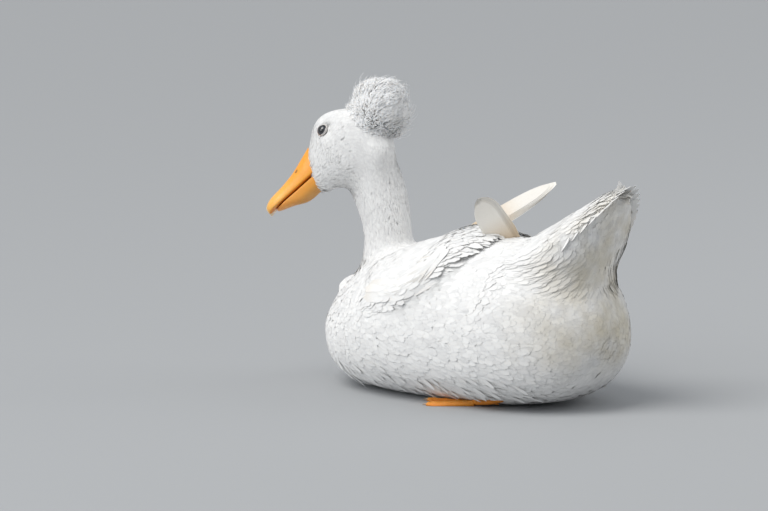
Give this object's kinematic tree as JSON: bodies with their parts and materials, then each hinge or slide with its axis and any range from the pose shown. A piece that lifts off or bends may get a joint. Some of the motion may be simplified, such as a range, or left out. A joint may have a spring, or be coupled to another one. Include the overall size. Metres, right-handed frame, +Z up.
{
  "type": "crested duck",
  "caption": "Life-size still model of a white crested duck resting on its belly, head turned left, with a round crest, raised tail and crossed wing tips.",
  "frame": {"origin": "point on the belly's flat, in the middle plane, a third of the way from breast to tail along the flat", "axes": "the bird heads along -X, its tail is towards +X, its left side is towards -Y, and +Z is up"},
  "size_m": [0.42, 0.208, 0.3111],
  "materials": {
    "body_feather": "soft white contour feathers, matt",
    "crest_feather": "loose curled white down, matt",
    "flight_feather": "cream-white flight feathers, slight silky sheen",
    "bill_horn": "smooth orange-yellow bill skin and horn, satin",
    "eye": "wet dark eye with a grey-blue iris",
    "leg_skin": "scaly orange skin, satin"
  },
  "bodies": {
    "root": {"trunk": "body_feather", "tail": "body_feather", "neck": "body_feather", "head": "body_feather", "crest": "crest_feather", "wing_left": "body_feather", "wing_right": "body_feather", "primaries_left": "flight_feather", "primaries_right": "flight_feather", "bill_upper": "bill_horn", "bill_lower": "bill_horn", "eye_left": "eye", "eye_right": "eye", "leg_left": "leg_skin", "leg_right": "leg_skin", "foot_left": "leg_skin", "foot_right": "leg_skin"}
  },
  "joints": []
}
